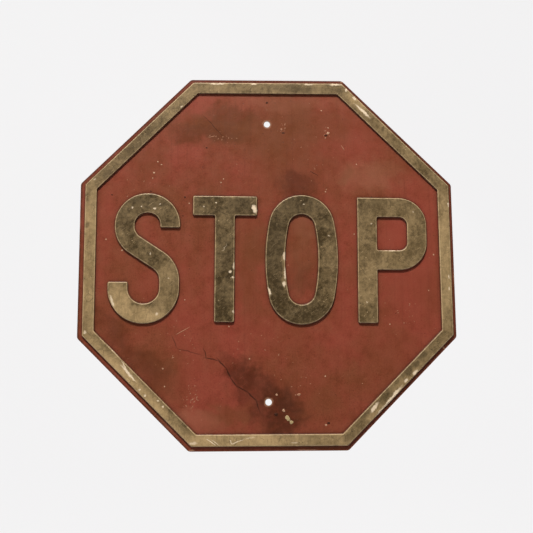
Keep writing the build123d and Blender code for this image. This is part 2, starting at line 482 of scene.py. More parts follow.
BORDER_LIGHT = (
    (-288, -10, 13, 120, 0, 0.6),
    (-212, -208, 112, 14, -45, 1.1),
    (-60, -288, 120, 12, 0, 1.0),
    (100, -288, 60, 12, 0, 0.6),
    (291, 0, 12, 110, 0, 0.65),
    (150, 272, 26, 9, -45, 0.9),
    (205, 215, 60, 11, -45, 0.25),
    (-60, 290, 60, 11, 0, 0.15),
    (196, -222, 60, 7, 45, 0.6),
)
BORDER_DARK = (
    (-258, 142, 13, 8, 45, 0.9), (-215, 190, 40, 9, 45, 0.4), (40, 290, 40, 7, 0, 0.55),
    (55, 290, 9, 2.4, 10, 0.9), (250, -155, 9, 6, 45, 0.9), (240, -170, 7, 5, 45, 0.8),
    (225, -180, 8, 5, 45, 0.8), (190, -220, 14, 7, 45, 0.7), (155, -245, 10, 6, 45, 0.8),
    (130, -285, 12, 7, 0, 0.8), (213, 206, 3, 3, 0, 0.9), (195, 223, 3, 3, 0, 0.9),
    (-292, 60, 3, 4, 0, 0.8), (-193, 213, 14, 1.0, 45, 0.9), (-188, 209, 12, 0.9, 45, 0.8),
    (120, 289, 26, 3, 0, 0.4), (-289, 25, 5, 16, 0, 0.4), (292, -90, 5, 14, 0, 0.4),
)
BORDER_CHIPS = (
    (-83, 297.5, 12, 1.2, 0, 0.9), (-22, 297.5, 5, 1.4, 0, 0.8), (70, 297.5, 7, 1.2, 0, 0.8),
    (116, 297, 10, 1.4, 0, 0.9), (-142, 258, 2.4, 1.4, 40, 0.7), (-282, 133, 2, 1.6, 0, 0.5),
    (-292, -117, 2, 2.4, 0, 0.8), (-222, -182, 16, 1.8, -48, 1.0), (-228, -172, 9, 1.0, -60, 0.9),
    (-204, -208, 1.8, 1.6, 0, 0.8), (-195, -217, 1.6, 1.8, 0, 0.8), (-175, -225, 2.2, 1.4, 0, 0.8),
    (-167, -234, 1.8, 1.4, 0, 0.8), (-120, -292, 7, 2.2, 0, 0.6), (-91, -290, 8, 0.7, -35, 0.9),
    (-84, -291, 8, 0.6, -38, 0.8), (-60, -290, 4, 0.7, -60, 0.8), (-50, -290, 10, 0.7, 24, 0.8),
    (133, 288, 2, 3, 0, 0.8), (146, 274, 3, 2, -45, 0.9), (160, 252, 15, 1.8, -44, 1.0),
    (299, 92, 1.2, 4, 0, 0.8), (295, -28, 1.4, 3, 0, 0.7), (295, -47, 1.4, 3, 0, 0.7),
    (235, -183, 5, 2.6, 45, 0.9), (220, -195, 4, 2, 45, 0.9), (196, -224, 22, 2.4, 48, 1.0),
    (168, -238, 9, 2.4, 52, 0.9), (205, -212, 8, 1.8, 40, 0.9), (-250, -142, 14, 0.8, -50, 0.6),
    (176, -246, 12, 1.6, 50, 0.9), (40, -292, 5, 0.9, 0, 0.5), (-30, -284, 7, 0.7, 10, 0.5),
)

LETTER_LIGHT = {
    "letter_s_enamel": (
        (-205, -90, 40, 14, 0, 1.2), (-238, -64, 18, 28, 0, 1.2), (-165, -50, 18, 40, 0, 0.45),
    ),
    "letter_t_enamel": (
        (-70, 60, 14, 20, 0, 0.15),
    ),
    "letter_o_enamel": (
        (100, -20, 16, 60, 0, 0.22), (27, -12, 3, 32, 0, 0.9), (100, -60, 18, 16, 0, 0.3),
    ),
    "letter_p_enamel": (
        (205, 40, 50, 60, 0, 0.25), (162, -40, 18, 60, 0, 0.3),
    ),
}
LETTER_DARK = {
    "letter_s_enamel": (
        (-208, 94, 34, 8, 0, 0.45), (-236, 60, 12, 24, 0, 0.25),
    ),
    "letter_t_enamel": (
        (-75, 80, 22, 0.7, -24, 1.3), (-40, 90, 24, 16, 0, 0.4), (-72, -30, 14, 60, 0, 0.3),
    ),
    "letter_o_enamel": (
        (14, 10, 20, 80, 0, 0.6), (50, 92, 40, 16, 0, 0.5), (20, -62, 16, 1.0, -4, 0.8),
        (55, -92, 40, 12, 0, 0.35),
    ),
    "letter_p_enamel": (
        (162, 92, 16, 10, 0, 0.3), (176, -88, 10, 12, 0, 0.3),
    ),
}
LETTER_CHIPS = {
    "letter_s_enamel": (
        (-220, 86, 1.1, 1.1, 0, 0.8), (-205, 88, 1.1, 1.1, 0, 0.8), (-184, 85, 2.2, 1.6, 0, 0.9),
        (-175, 92, 1.1, 1.1, 0, 0.8), (-250, -67, 9, 1.6, -70, 0.8), (-178, -88, 2.4, 2.0, 0, 0.8),
        (-190, 10, 1.2, 1.2, 0, 0.6), (-160, -30, 1.4, 1.0, 0, 0.6),
    ),
    "letter_t_enamel": (
        (-22, 86, 3.6, 4.4, 20, 1.0), (-20, 81, 3.2, 3.4, 0, 0.9), (-84, 95, 1.1, 1.1, 0, 0.8),
        (-51, -20, 2.6, 2.4, 0, 1.0), (-61, -20, 2.2, 2.2, 0, 0.9), (-56, -29, 2.6, 1.6, 0, 0.8),
        (-55, -10, 1.6, 6, 0, 0.8), (-56, -84, 2.0, 2.0, 0, 0.8), (-104, 88, 1.2, 1.2, 0, 0.7),
        (-70, 20, 7, 0.6, 60, 0.4),
    ),
    "letter_o_enamel": (
        (27, 6, 2.0, 6, 0, 1.0), (28, -22, 1.8, 9, 0, 0.9), (26, -40, 2.0, 4, 0, 0.9),
        (2, -51, 1.8, 6, 20, 0.9), (60, 92, 1.4, 1.2, 0, 0.6), (100, 40, 1.2, 1.2, 0, 0.5),
    ),
    "letter_p_enamel": (
        (204, 15.5, 13, 1.0, -1, 0.8), (170, 60, 1.2, 1.2, 0, 0.6), (240, 80, 1.4, 1.2, 0, 0.6),
        (160, -70, 1.2, 1.4, 0, 0.6),
    ),
}
# How clean each piece of cream is, from 0 under full grime to 1
BORDER_SHADE = 0.33
LETTER_SHADE = {
    "letter_s_enamel": 0.20,
    "letter_t_enamel": 0.13,
    "letter_o_enamel": 0.12,
    "letter_p_enamel": 0.25,
}


# ---------------------------------------------------------------- materials

class Coat:
    """One material under construction: its tree, its coordinates and its shader."""

    def __init__(self, name, torn=0.0022, blurred=0.018, specular=0.5):
        self.material = bpy.data.materials.new(name)
        self.material.use_nodes = True
        self.nodes = Tree(self.material.node_tree)
        self.material.node_tree.nodes.clear()
        here = self.nodes.add("ShaderNodeTexCoord")
        self.position = here.outputs["Object"]
        self.torn = self.shaken(self.position, 190.0, torn)
        self.blurred = self.shaken(self.shaken(self.position, 14.0, blurred * 2), 60.0, blurred)
        self.shader = self.nodes.add("ShaderNodeBsdfPrincipled")
        self.shader.inputs["Specular IOR Level"].default_value = specular
        output = self.nodes.add("ShaderNodeOutputMaterial")
        self.nodes.feed(output.inputs["Surface"], self.shader.outputs[0])

    def shaken(self, where, scale, amount):
        """Coordinates disturbed by noise, so that what is drawn with them has a torn edge."""
        nodes = self.nodes
        noise = nodes.noise(where, scale, detail=3.0, output="Color")
        centred = nodes.vector_math("SUBTRACT", noise, (0.5, 0.5, 0.5))
        offset = nodes.vector_math("SCALE", centred, amount * 2)
        return nodes.vector_math("ADD", where, offset)

    def marks(self, listed, where, softness):
        """One mask for a whole list of marks."""
        nodes = self.nodes
        whole = None
        for x, z, half_width, half_height, turn, strength in listed:
            mask = nodes.place(
                groups["patch"],
                Position=where,
                Centre=(x * MM, 0.0, z * MM),
                Turn=(0.0, -math.radians(turn), 0.0),
                Size=(half_width * MM, 1.0, half_height * MM),
                Softness=softness,
                Strength=float(strength),
            )
            whole = mask if whole is None else nodes.math("MAXIMUM", whole, mask)
        return whole

    def painted_shade_at_feet(self, reach, broken):
        """Painted shade: the corner at the foot of every raised shape, darkened by ambient
        occlusion.
        """
        nodes = self.nodes
        corner = nodes.add("ShaderNodeAmbientOcclusion", samples=6, only_local=True)
        corner.inputs["Distance"].default_value = reach
        packed = nodes.span(corner.outputs["AO"], 0.62, 0.92, 0.95, 0.0)
        return nodes.math("MULTIPLY", packed, nodes.span(broken, 0.3, 0.6, 0.75, 1.0))

    def bumps(self, layers):
        """Heights in metres, as (height, distance) pairs, added into the shader's normal."""
        normal = None
        for height, distance in layers:
            bump = self.nodes.add("ShaderNodeBump")
            bump.inputs["Distance"].default_value = distance
            self.nodes.feed(bump.inputs["Height"], height)
            if normal is not None:
                self.nodes.feed(bump.inputs["Normal"], normal)
            normal = bump.outputs[0]
        self.nodes.feed(self.shader.inputs["Normal"], normal)

    def finish(self, base, roughness, metallic=None):
        self.nodes.feed(self.shader.inputs["Base Color"], base)
        self.nodes.feed(self.shader.inputs["Roughness"], roughness)
        if metallic is not None:
            self.nodes.feed(self.shader.inputs["Metallic"], metallic)
        return self.material


def red_enamel(look):
    """Baked red, gone brown: stained, streaked, speckled and worn pale in places, with painted
    shade on the walls of the pressing and at their feet.
    """
    coat = Coat("weathered_red", specular=0.2)
    nodes = coat.nodes
    spot = coat.position
    base = nodes.place(groups["mottle"], Position=spot, Scale=7.0, Contrast=0.18,
                       First=colour(look.red_brown), Second=colour(look.red_crimson))
    patchy = nodes.noise(spot, 42.0, detail=6.0, roughness=0.7)
    fine = nodes.noise(spot, 420.0, detail=3.0, roughness=0.7)
    base = nodes.mix(nodes.span(patchy, 0.45, 0.75, 0.0, 0.25), base, colour(look.red_light))
    base = nodes.mix(nodes.span(patchy, 0.5, 0.3, 0.0, 0.25), base, colour(look.red_dark_and_shade))
    base = nodes.mix(nodes.span(fine, 0.5, 0.25, 0.0, 0.4), base, colour(look.red_dark_and_shade))
    base = nodes.mix(nodes.span(fine, 0.5, 0.75, 0.0, 0.3), base, colour(look.red_light))
    crimson = coat.marks(CRIMSON_ZONES, coat.blurred, 0.6)
    base = nodes.lay(base, crimson, 0.5, look.red_crimson)
    brown = coat.marks(BROWN_ZONES, coat.blurred, 0.6)
    base = nodes.lay(base, brown, 0.8, look.red_rust)
    haze = coat.marks(PALE_HAZE, coat.blurred, 0.7)
    base = nodes.lay(base, haze, 0.35, look.haze)
    streaks = nodes.place(groups["streaks"], Position=spot, Width=0.005, Length=0.14)
    base = nodes.lay(base, streaks, 0.14, look.red_dark_and_shade)
    stain = coat.marks(DARK_STAINS, coat.blurred, 0.6)
    blotches = nodes.noise(spot, 110.0, detail=4.0, roughness=0.65)
    eaten = nodes.math("MULTIPLY", stain, nodes.span(blotches, 0.2, 0.6, 0.6, 1.0))
    base = nodes.mix(eaten, base, colour(look.stain))
    drip = coat.marks(DRIP_LINE, coat.shaken(spot, 70.0, 0.0024), 0.7)
    base = nodes.mix(drip, base, colour(look.pit_and_foot_shade))
    relief = nodes.place(groups["relief"], Position=spot)
    # Painted shade: the walls of the pressing are darkened towards the dark red.
    base = nodes.lay(base, relief[1], 0.75, look.red_dark_and_shade)
    # Painted shade at the foot of every raised shape, darkened towards the pit colour.
    grime = coat.painted_shade_at_feet(0.008, fine)
    base = nodes.mix(grime, base, colour(look.pit_and_foot_shade))
    edge = nodes.place(groups["edge"], Position=coat.torn, Reach=0.0055)
    base = nodes.lay(base, edge, 0.75, look.stain)
    near_hole = nodes.place(groups["bolt_holes"], Position=coat.torn, Edge=0.0058, Reach=0.0088)
    base = nodes.lay(base, near_hole, 0.7, look.undercoat_dull)
    scratched = nodes.place(groups["scratches"], Position=spot, Turn=(0.0, 0.6, 0.0), Share=0.7)
    base = nodes.lay(base, scratched, 0.35, look.haze)
    dust = nodes.place(groups["speckle"], Position=spot, Scale=170.0, Share=0.06, Size=0.2)
    base = nodes.lay(base, dust, 0.5, look.undercoat_dull)
    elsewhere = nodes.vector_math("ADD", spot, (3.0, 0.0, 7.0))
    pits = nodes.place(groups["speckle"], Position=elsewhere, Scale=150.0, Share=0.07, Size=0.22)
    base = nodes.lay(base, pits, 0.5, look.pit_and_foot_shade)
    chips = coat.marks(RIM_CHIPS, coat.torn, 0.35)
    base = nodes.mix(chips, base, colour(look.undercoat_dull))
    rough = nodes.span(patchy, 0.3, 0.7, 0.36, 0.5)
    rough = nodes.math("ADD", rough, nodes.math("MULTIPLY", chips, 0.3), clamp=True)
    rough = nodes.math("SUBTRACT", rough, nodes.math("MULTIPLY", stain, 0.06))
    grain = nodes.place(groups["grain"], Position=spot)
    sunk = nodes.math("SUBTRACT", 1.0, nodes.math("MAXIMUM", dust, pits))
    coat.bumps(((grain, 0.00008), (sunk, 0.0001)))
    return coat.finish(base, rough)


def cream_enamel(look, name, light, dark, chipped, lightness):
    """Cream gone olive with grime, cleaner where it has been rubbed, and chipped, with rubbed wear
    and a painted highlight on the shoulders and painted shade at the coat's lower edge.
    """
    coat = Coat(name, torn=0.0028, blurred=0.005, specular=0.22)
    nodes = coat.nodes
    spot = coat.position
    clouds = nodes.noise(coat.blurred, 30.0, detail=6.0, roughness=0.7)
    fine = nodes.noise(coat.torn, 150.0, detail=6.0, roughness=0.78)
    cleaner = coat.marks(light, coat.blurred, 0.5)
    level = nodes.math("ADD", nodes.span(clouds, 0.3, 0.7, -0.15, 0.15), lightness)
    level = nodes.math("ADD", level, nodes.span(fine, 0.25, 0.75, -0.2, 0.2))
    level = nodes.math("ADD", level, nodes.math("MULTIPLY", cleaner, 0.45), clamp=True)
    base = nodes.mix(level, colour(look.cream_grimy), colour(look.cream_clean))
    streaks = nodes.place(groups["streaks"], Position=spot, Width=0.003, Length=0.03)
    base = nodes.lay(base, streaks, 0.25, look.cream_grimy)
    soiled = coat.marks(dark, coat.blurred, 0.45)
    base = nodes.lay(base, soiled, 0.6, look.cream_dark)
    for turn, share, tone in ((0.7, 0.68, look.cream_rubbed_and_highlight), (-0.9, 0.68, look.cream_dark)):
        lines = nodes.place(groups["scratches"], Position=spot, Turn=(0.0, turn, 0.0),
                            Fineness=(90.0, 90.0, 1500.0), Share=share)
        base = nodes.lay(base, lines, 0.5, tone)
    cracks = nodes.place(groups["cracks"], Position=coat.shaken(spot, 60.0, 0.004))
    base = nodes.lay(base, cracks, 0.6, look.cream_dark)
    relief = nodes.place(groups["relief"], Position=spot, Raised_Depth=RAISED_Y - COAT)
    # Rubbed wear and a painted highlight: every shoulder is made lighter, in the rubbed cream.
    worn = nodes.math("MULTIPLY", relief[2], nodes.span(fine, 0.35, 0.6, 0.4, 1.0))
    base = nodes.lay(base, worn, 0.7, look.cream_rubbed_and_highlight)
    # The coat's lower edge on the shoulder goes towards the dark red: the red sides showing, with
    # painted shade.
    low_edge = nodes.math("SUBTRACT", 1.0, nodes.math("MAXIMUM", relief[0], relief[2]))
    base = nodes.lay(base, low_edge, 0.6, look.red_dark_and_shade)
    specks = nodes.place(groups["speckle"], Position=spot, Scale=190.0, Share=0.16, Size=0.26)
    base = nodes.lay(base, specks, 0.6, look.cream_dark)
    elsewhere = nodes.vector_math("ADD", spot, (5.0, 0.0, 2.0))
    scuffs = nodes.place(groups["speckle"], Position=elsewhere, Scale=200.0, Share=0.14, Size=0.26)
    base = nodes.lay(base, scuffs, 0.5, look.cream_rubbed_and_highlight)
    chips = coat.marks(chipped, coat.torn, 0.4)
    chips = nodes.math("MULTIPLY", chips, nodes.span(fine, 0.3, 0.5, 0.55, 1.0))
    base = nodes.mix(chips, base, colour(look.cream_chip))
    rough = nodes.span(clouds, 0.3, 0.7, 0.42, 0.58)
    rough = nodes.math("ADD", rough, nodes.math("MULTIPLY", chips, 0.2), clamp=True)
    grain = nodes.place(groups["grain"], Position=spot)
    sunk = nodes.math("SUBTRACT", 1.0, nodes.math("MAXIMUM", chips, specks))
    coat.bumps(((grain, 0.00012), (sunk, 0.0002)))
    return coat.finish(base, rough)


def back_enamel(look):
    """Dark enamel on the back: scuffed, dusty, and rusted through round the holes."""
    coat = Coat("back_enamel")
    nodes = coat.nodes
    spot = coat.position
    base = nodes.place(groups["mottle"], Position=spot, Scale=12.0, Contrast=0.2,
                       First=colour(look.back_dark), Second=colour(look.back_light))
    streaks = nodes.place(groups["streaks"], Position=spot, Width=0.006, Length=0.2)
    base = nodes.lay(base, streaks, 0.35, look.back_dust)
    worn = nodes.noise(coat.blurred, 16.0, detail=6.0, roughness=0.7)
    rust = nodes.span(worn, 0.6, 0.7)
    holes = nodes.place(groups["bolt_holes"], Position=coat.blurred, Edge=0.01, Reach=0.05)
    edge = nodes.place(groups["edge"], Position=coat.torn, Reach=0.012)
    rusty = nodes.math("ADD", rust, nodes.math("MULTIPLY", holes, 0.9), clamp=True)
    rusty = nodes.math("ADD", rusty, nodes.math("MULTIPLY", edge, 0.7), clamp=True)
    broken = nodes.noise(spot, 130.0, detail=4.0, roughness=0.7)
    rusty = nodes.math("MULTIPLY", rusty, nodes.span(broken, 0.38, 0.56), clamp=True)
    rust_tone = nodes.place(groups["mottle"], Position=spot, Scale=70.0, Contrast=0.15,
                            First=colour(look.rust_dark), Second=colour(look.rust_light))
    base = nodes.mix(rusty, base, rust_tone)
    specks = nodes.place(groups["speckle"], Position=spot, Scale=160.0, Share=0.2, Size=0.3)
    base = nodes.mix(nodes.math("MULTIPLY", specks, 0.7), base, rust_tone)
    rough = nodes.math("ADD", 0.45, nodes.math("MULTIPLY", rusty, 0.35))
    grain = nodes.place(groups["grain"], Position=spot)
    blister = nodes.math("MULTIPLY", rusty, broken)
    coat.bumps(((grain, 0.00008), (blister, 0.0004)))
    return coat.finish(base, rough)


def bare_steel(look):
    """Sheared edges and worn rings of steel, mostly under rust."""
    coat = Coat("steel")
    nodes = coat.nodes
    spot = coat.position
    bright = nodes.place(groups["mottle"], Position=spot, Scale=220.0, Contrast=0.2,
                         First=colour(look.steel_dull), Second=colour(look.steel_bright))
    rust = nodes.place(groups["mottle"], Position=spot, Scale=90.0, Contrast=0.18,
                       First=colour(look.rust_dark), Second=colour(look.rust_light))
    cover = nodes.span(nodes.noise(spot, 60.0, detail=5.0, roughness=0.65), 0.36, 0.56)
    base = nodes.mix(cover, bright, rust)
    rough = nodes.span(cover, 0.0, 1.0, 0.38, 0.85)
    metallic = nodes.span(cover, 0.0, 1.0, 0.9, 0.0)
    grain = nodes.place(groups["grain"], Position=spot)
    coat.bumps(((grain, 0.0001), (cover, 0.00012)))
    return coat.finish(base, rough, metallic)


def dried_spots(name, first, second, roughness):
    """Finish of the small dried or broken spots that stand on the red."""
    coat = Coat(name, specular=0.15)
    nodes = coat.nodes
    base = nodes.place(groups["mottle"], Position=coat.position, Scale=520.0, Contrast=0.2,
                       First=colour(first), Second=colour(second))
    grain = nodes.place(groups["grain"], Position=coat.position)
    rough = nodes.span(nodes.noise(coat.position, 300.0), 0.3, 0.7, roughness - 0.1, roughness)
    coat.bumps(((grain, 0.0001),))
    return coat.finish(base, rough)


def stage_material(look):
    """A plain pale studio surface that shows no hard shadow."""
    material = bpy.data.materials.new("studio_paper")
    material.use_nodes = True
    nodes = Tree(material.node_tree)
    material.node_tree.nodes.clear()
    paper = nodes.add("ShaderNodeBsdfDiffuse")
    paper.inputs["Color"].default_value = colour(look.paper)
    glow = nodes.add("ShaderNodeEmission")
    glow.inputs["Color"].default_value = colour(look.paper_seen)
    seen = nodes.add("ShaderNodeLightPath")
    share = nodes.math("MULTIPLY", seen.outputs["Is Camera Ray"], 0.92)
    blend = nodes.add("ShaderNodeMixShader")
    nodes.feed(blend.inputs[0], share)
    nodes.feed(blend.inputs[1], paper.outputs[0])
    nodes.feed(blend.inputs[2], glow.outputs[0])
    output = nodes.add("ShaderNodeOutputMaterial")
    nodes.feed(output.inputs["Surface"], blend.outputs[0])
    return material


# ---------------------------------------------------------------- what a user can change

def shade(name, default, description):
    return FloatVectorProperty(name=name, description=description, default=default,
                               subtype="COLOR", size=3, min=0.0, max=1.0)


class StopSignLook(bpy.types.PropertyGroup):
    """Colours of the sign's coats and of the studio."""
    red_brown: shade("Brown red", (0.140, 0.038, 0.015), "Red enamel where it has gone brown")
    red_crimson: shade("Crimson", (0.205, 0.040, 0.024), "Red enamel at its freshest")
    red_light: shade("Faded red", (0.23, 0.062, 0.030), "Red enamel where it has faded")
    # Dark red also serves as the painted shade on the walls of the pressing and at the cream's
    # lower edge.
    red_dark_and_shade: shade("Dark red", (0.060, 0.012, 0.005), "Red enamel under grime")
    red_rust: shade("Rusty red", (0.117, 0.037, 0.0125), "Red enamel stained by rust")
    haze: shade("Haze", (0.30, 0.13, 0.075), "Chalky bloom on the red")
    stain: shade("Stain", (0.045, 0.012, 0.004), "Dried dark stains and drips")
    # Pit also serves as the colour of the painted shade at the foot of every raised shape.
    pit_and_foot_shade: shade("Pit", (0.022, 0.007, 0.003), "Small rust pits")
    undercoat: shade("Undercoat", (0.42, 0.29, 0.19), "Pale undercoat in fresh chips")
    undercoat_dull: shade("Dull undercoat", (0.27, 0.14, 0.085), "Pale undercoat gone dull")
    olive_blob: shade("Olive drop", (0.30, 0.24, 0.13), "A dried drop of olive paint")
    cream_grimy: shade("Grimy cream", (0.036, 0.022, 0.0065), "Cream enamel under grime")
    cream_clean: shade("Clean cream", (0.37, 0.257, 0.125), "Cream enamel where it is cleanest")
    cream_dark: shade("Dark grime", (0.035, 0.022, 0.008), "Thickest grime on the cream")
    # Rubbed cream also serves as the painted highlight along the shoulders.
    cream_rubbed_and_highlight: shade("Rubbed cream", (0.44, 0.32, 0.18), "Cream rubbed along the shoulders")
    cream_chip: shade("Cream chip", (0.62, 0.50, 0.36), "Fresh chips in the cream")
    back_dark: shade("Back", (0.016, 0.015, 0.014), "Dark enamel on the back")
    back_light: shade("Faded back", (0.04, 0.038, 0.034), "Dark enamel where it has faded")
    back_dust: shade("Dust", (0.11, 0.095, 0.075), "Dust in rain runs on the back")
    rust_dark: shade("Dark rust", (0.05, 0.018, 0.008), "Old rust")
    rust_light: shade("Light rust", (0.20, 0.070, 0.024), "Fresh rust")
    steel_dull: shade("Dull steel", (0.24, 0.22, 0.20), "Bare steel gone dull")
    steel_bright: shade("Bright steel", (0.5, 0.48, 0.46), "Bare steel where it is rubbed")
    paper: shade("Paper", (0.6, 0.6, 0.6), "Studio floor and backdrop")
    paper_seen: shade("Lit paper", (0.912, 0.907, 0.914), "How bright the floor and backdrop look")


class StopSignStudio(bpy.types.PropertyGroup):
    """Sizes of the studio round the sign, and its lights."""
    floor_drop: FloatProperty(
        name="Floor drop", description="Floor below the sign's centre",
        default=1.3, min=0.3, unit="LENGTH")
    backdrop_gap: FloatProperty(
        name="Backdrop gap", description="Backdrop behind the sign",
        default=2.4, min=0.3, unit="LENGTH")
    cove_radius: FloatProperty(
        name="Cove radius", description="Bend between the floor and the backdrop",
        default=0.8, min=0.05, unit="LENGTH")
    half_span: FloatProperty(
        name="Half span", description="Half the studio's width", default=5.0, unit="LENGTH")
    camera_x: FloatProperty(
        name="Camera right", description="Camera to the right of the sign's centre",
        default=-0.0579, unit="LENGTH")
    camera_z: FloatProperty(
        name="Camera up", description="Camera above the sign's centre",
        default=-0.2328, unit="LENGTH")
    camera_distance: FloatProperty(
        name="Camera distance", description="Camera in front of the sign's face",
        default=1.4512, unit="LENGTH")
    aim_x: FloatProperty(
        name="Aim right", description="Where the camera looks, right of the sign's centre",
        default=-0.0021, unit="LENGTH")
    aim_z: FloatProperty(
        name="Aim up", description="Where the camera looks, above the sign's centre",
        default=-0.0106, unit="LENGTH")
    camera_roll: FloatProperty(
        name="Camera roll", description="Turn of the camera about its own line of sight",
        default=math.radians(-0.334), subtype="ANGLE")
    lens: FloatProperty(
        name="Lens", description="Focal length on a 36 mm sensor, in millimetres", default=61.1)
    key_power: FloatProperty(
        name="Key light", description="Power of the light above the sign, in watts", default=322.0)
    fill_power: FloatProperty(
        name="Fill light", description="Power of the soft light on the left, in watts", default=6.0)
    rear_power: FloatProperty(
        name="Rear light", description="Power of the light on the back, in watts", default=55.0)


# ---------------------------------------------------------------- operators

def raise_dome(bm, sides, chance, place):
    """One closed low dome, ragged round its edge: unit size, then put in its place."""
    earlier = len(bm.verts)
    ring = bmesh.ops.create_circle(bm, cap_ends=True, segments=sides, radius=1.0)["verts"]
    for vert in ring:
        vert.co *= chance.uniform(0.72, 1.15)
    base = ring[0].link_faces[0]
    risen = bmesh.ops.extrude_face_region(bm, geom=[base], use_keep_orig=True)["geom"]
    top = next(part for part in risen if isinstance(part, bmesh.types.BMFace))
    bmesh.ops.translate(bm, verts=top.verts, vec=(0.0, 0.0, 0.5))
    bmesh.ops.inset_individual(bm, faces=[top], thickness=0.3, depth=0.35)
    bmesh.ops.poke(bm, faces=[top], offset=0.15)
    bm.verts.ensure_lookup_table()
    bmesh.ops.transform(bm, matrix=place, verts=bm.verts[earlier:])


def scattered(clusters, seed):
    """Marks for groups of tiny flecks, gathered towards the middle of each group."""
    chance = random.Random(seed)
    marks = []
    for x, z, half_width, half_height, count in clusters:
        for _ in range(count):
            size = chance.uniform(0.3, 0.85)
            across = x + chance.gauss(0.0, half_width / 2)
            up = z + chance.gauss(0.0, half_height / 2)
            length = size * chance.uniform(1.0, 3.0)
            marks.append((across, up, length, size, chance.uniform(0.0, 90.0), 0.6))
    return marks


def spot_piece(name, marks, surface_y, material, seed):
    """Low ragged domes on the sign's face, one for each mark."""
    chance = random.Random(seed)
    outward = Matrix.Rotation(math.pi / 2, 4, "X")
    bm = bmesh.new()
    for x, z, half_width, half_height, turn, _ in marks:
        rise = DOME_RISE * min(half_width, half_height)
        wide = DOME_SPREAD * half_width
        tall = DOME_SPREAD * half_height
        size = Matrix.Diagonal((wide * MM, tall * MM, rise * MM, 1.0))
        turned = Matrix.Rotation(math.radians(turn), 4, "Z")
        place = Matrix.Translation((x * MM, surface_y, z * MM)) @ outward @ turned @ size
        sides = FEW_SIDES if max(half_width, half_height) < LARGE_DOME else MANY_SIDES
        raise_dome(bm, sides, chance, place)
    bmesh.ops.recalc_face_normals(bm, faces=bm.faces)
    mesh = bpy.data.meshes.new(name)
    bm.to_mesh(mesh)
    bm.free()
    mesh.shade_smooth()
    mesh.materials.append(material)
    piece = bpy.data.objects.new(name, mesh)
    bpy.context.scene.collection.objects.link(piece)
    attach(piece, "root")


def dress(node, material):
    """Give a node of the frame its finished material."""
    piece = frame["nodes"][node]
    for place in piece.material_slots:
        place.material = material
    if not piece.material_slots:
        piece.data.materials.append(material)


class STOPSIGN_OT_effects(bpy.types.Operator):
    """Build the shared surface effects"""
    bl_idname = "stopsign.effects"
    bl_label = "Shared effects"

    def execute(self, context):
        for name, make in GROUP_MAKERS.items():
            groups[name] = make()
        return {"FINISHED"}


class STOPSIGN_OT_blank(bpy.types.Operator):
    """Finish the pressed steel blank"""
    bl_idname = "stopsign.blank"
    bl_label = "Steel blank"

    def execute(self, context):
        dress("steel_blank", bare_steel(context.scene.stop_sign_look))
        return {"FINISHED"}


class STOPSIGN_OT_ground(bpy.types.Operator):
    """Finish the red ground enamel"""
    bl_idname = "stopsign.ground"
    bl_label = "Red ground"

    def execute(self, context):
        dress("ground_enamel", red_enamel(context.scene.stop_sign_look))
        return {"FINISHED"}


class STOPSIGN_OT_spots(bpy.types.Operator):
    """Raise the flecks, drops and rust spots on the red"""
    bl_idname = "stopsign.spots"
    bl_label = "Flecks and rust spots"

    def execute(self, context):
        look = context.scene.stop_sign_look
        pale = dried_spots("pale_fleck", look.undercoat, look.haze, 0.6)
        dull = dried_spots("dull_fleck", look.undercoat_dull, look.haze, 0.6)
        olive = dried_spots("olive_drop", look.olive_blob, look.cream_clean, 0.45)
        rust = dried_spots("rust_spot", look.pit_and_foot_shade, look.stain, 0.7)
        bright = [mark for mark in FIELD_CHIPS if mark[5] > PALE_FROM]
        faint = [mark for mark in FIELD_CHIPS if mark[5] <= PALE_FROM]
        spot_piece("pale_flecks", bright, FIELD_Y, pale, 1)
        faint += scattered(FLECK_CLUSTERS, 5)
        spot_piece("dull_flecks", faint, FIELD_Y, dull, 2)
        spot_piece("olive_drops", OLIVE_BLOBS, FIELD_Y, olive, 3)
        spot_piece("rust_spots", FIELD_PITS, FIELD_Y, rust, 4)
        return {"FINISHED"}


class STOPSIGN_OT_back(bpy.types.Operator):
    """Finish the enamel on the back"""
    bl_idname = "stopsign.back"
    bl_label = "Back enamel"

    def execute(self, context):
        dress("back_enamel", back_enamel(context.scene.stop_sign_look))
        return {"FINISHED"}


class STOPSIGN_OT_border(bpy.types.Operator):
    """Finish the cream border"""
    bl_idname = "stopsign.border"
    bl_label = "Cream border"

    def execute(self, context):
        look = context.scene.stop_sign_look
        material = cream_enamel(look, "cream_border", BORDER_LIGHT, BORDER_DARK, BORDER_CHIPS,
                                BORDER_SHADE)
        dress("border_enamel", material)
        return {"FINISHED"}


class STOPSIGN_OT_letters(bpy.types.Operator):
    """Finish the four cream letters"""
    bl_idname = "stopsign.letters"
    bl_label = "Cream letters"

    def execute(self, context):
        look = context.scene.stop_sign_look
        for node in LETTER_NODES:
            material = cream_enamel(look, node.replace("enamel", "cream"), LETTER_LIGHT[node],
                                    LETTER_DARK[node], LETTER_CHIPS[node], LETTER_SHADE[node])
            dress(node, material)
        return {"FINISHED"}


KEY_PLACE = (-0.6, -2.1, 3.6)     # high in front, a little to the left
FILL_PLACE = (-2.4, -1.6, 0.2)    # low on the left
REAR_PLACE = (1.2, 1.5, 1.4)      # behind the sign
COVE_STEPS = 24


def area_light(name, power, place, width, height, tint=(1.0, 1.0, 1.0)):
    """A soft rectangular light that points at the sign's centre."""
    lamp = bpy.data.lights.new(name, "AREA")
    lamp.shape = "RECTANGLE"
    lamp.size = width
    lamp.size_y = height
    lamp.energy = power
    lamp.color = tint
    light = bpy.data.objects.new(name, lamp)
    light.location = place
    light.rotation_euler = (-Vector(place)).to_track_quat("-Z", "Y").to_euler()
    bpy.context.scene.collection.objects.link(light)


